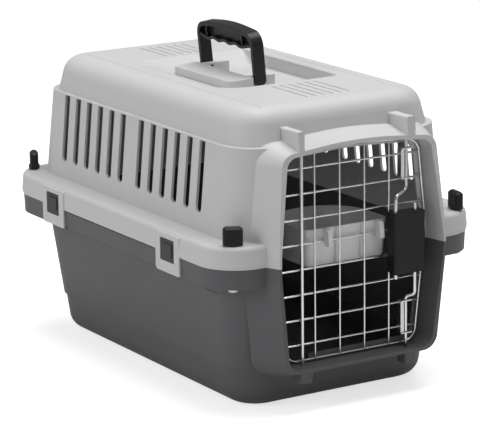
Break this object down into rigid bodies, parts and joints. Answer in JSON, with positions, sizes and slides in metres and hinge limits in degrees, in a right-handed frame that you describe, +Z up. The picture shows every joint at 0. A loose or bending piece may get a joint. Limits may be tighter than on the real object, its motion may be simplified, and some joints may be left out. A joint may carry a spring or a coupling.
{
  "type": "pet carrier",
  "caption": "Two-part rigid plastic pet carrier with side air slots, a hinged wire door with a squeeze latch and hung food bowl, and a folding top handle.",
  "frame": {"origin": "centre of the underside of the lower shell, on the floor", "axes": "+X out of the door, +Y to the latch side of the door (the right as seen from behind the carrier looking out of the door is -Y), +Z up"},
  "size_m": [0.4796, 0.3262, 0.3675],
  "materials": {
    "light_shell": "matte",
    "dark_shell": "matte",
    "catch_plastic": "matte",
    "bowl_plastic": "satin",
    "handle_plastic": "satin",
    "latch_plastic": "matte",
    "knob_plastic": "matte",
    "wire_steel": "bright",
    "rod_steel": "bright",
    "guide_steel": "satin",
    "spring_steel": "satin",
    "fastener_steel": "satin"
  },
  "bodies": {
    "carrier_shell": {"lower_shell": "dark_shell", "upper_shell": "light_shell", "corner_bolts": "fastener_steel", "bolt_washers": "fastener_steel", "handle_pins": "handle_plastic"},
    "door": {"door_frame_wire": "wire_steel", "door_cross_wires": "wire_steel", "door_upright_wires": "wire_steel", "hinge_rod": "wire_steel", "upper_rod_guide": "guide_steel", "lower_rod_guide": "guide_steel"},
    "latch_upper": {"latch_outer_case": "latch_plastic", "upper_bolt_rod": "rod_steel", "latch_spring": "spring_steel"},
    "latch_lower": {"latch_inner_case": "latch_plastic", "lower_bolt_rod": "rod_steel"},
    "bowl": {"food_bowl": "bowl_plastic"},
    "handle": {"carry_handle": "handle_plastic"},
    "knob_front_near": {"wing_knob_front_near": "knob_plastic", "knob_nut_front_near": "fastener_steel"},
    "knob_front_far": {"wing_knob_front_far": "knob_plastic", "knob_nut_front_far": "fastener_steel"},
    "knob_rear_near": {"wing_knob_rear_near": "knob_plastic", "knob_nut_rear_near": "fastener_steel"},
    "knob_rear_far": {"wing_knob_rear_far": "knob_plastic", "knob_nut_rear_far": "fastener_steel"},
    "catch_front_near": {"snap_catch_front_near": "catch_plastic"},
    "catch_front_far": {"snap_catch_front_far": "catch_plastic"},
    "catch_rear_near": {"snap_catch_rear_near": "catch_plastic"},
    "catch_rear_far": {"snap_catch_rear_far": "catch_plastic"}
  },
  "joints": [
    {"name": "door_hinge", "type": "hinge", "parent": "carrier_shell", "child": "door", "pos_m": [0.2251, -0.0625, 0], "axis": [0, 0, -1], "range_deg": [0, 110]},
    {"name": "latch_squeeze_upper", "type": "slide", "parent": "door", "child": "latch_upper", "axis": [0, 0, -1], "range_m": [0, 0.007], "stiffness_N_per_m": 400, "springref_m": -0.006, "deforming": ["latch_spring"]},
    {"name": "latch_squeeze_lower", "type": "slide", "parent": "door", "child": "latch_lower", "axis": [0, 0, 1], "range_m": [0, 0.007], "stiffness_N_per_m": 400, "springref_m": -0.006},
    {"name": "bowl_lift", "type": "slide", "parent": "door", "child": "bowl", "axis": [0, 0, 1], "range_m": [0, 0.012]},
    {"name": "handle_fold", "type": "hinge", "parent": "carrier_shell", "child": "handle", "pos_m": [0.001, -0.004, 0.312], "axis": [-1, 0, 0], "range_deg": [0, 94]},
    {"name": "knob_turn_front_near", "type": "hinge", "parent": "carrier_shell", "child": "knob_front_near", "pos_m": [0.2147, -0.138, 0.19], "axis": [0, 0, 1], "continuous": true},
    {"name": "knob_turn_front_far", "type": "hinge", "parent": "carrier_shell", "child": "knob_front_far", "pos_m": [0.2147, 0.138, 0.19], "axis": [0, 0, 1], "continuous": true},
    {"name": "knob_turn_rear_near", "type": "hinge", "parent": "carrier_shell", "child": "knob_rear_near", "pos_m": [-0.2147, -0.138, 0.19], "axis": [0, 0, 1], "continuous": true},
    {"name": "knob_turn_rear_far", "type": "hinge", "parent": "carrier_shell", "child": "knob_rear_far", "pos_m": [-0.2147, 0.138, 0.19], "axis": [0, 0, 1], "continuous": true},
    {"name": "catch_press_front_near", "type": "slide", "parent": "carrier_shell", "child": "catch_front_near", "axis": [0, 1, 0], "range_m": [0, 0.003], "stiffness_N_per_m": 1500, "springref_m": -0.001},
    {"name": "catch_press_front_far", "type": "slide", "parent": "carrier_shell", "child": "catch_front_far", "axis": [0, -1, 0], "range_m": [0, 0.003], "stiffness_N_per_m": 1500, "springref_m": -0.001},
    {"name": "catch_press_rear_near", "type": "slide", "parent": "carrier_shell", "child": "catch_rear_near", "axis": [0, 1, 0], "range_m": [0, 0.003], "stiffness_N_per_m": 1500, "springref_m": -0.001},
    {"name": "catch_press_rear_far", "type": "slide", "parent": "carrier_shell", "child": "catch_rear_far", "axis": [0, -1, 0], "range_m": [0, 0.003], "stiffness_N_per_m": 1500, "springref_m": -0.001}
  ],
  "couplings": [
    {"joint": "latch_squeeze_lower", "follows": "latch_squeeze_upper", "ratio": 1}
  ]
}
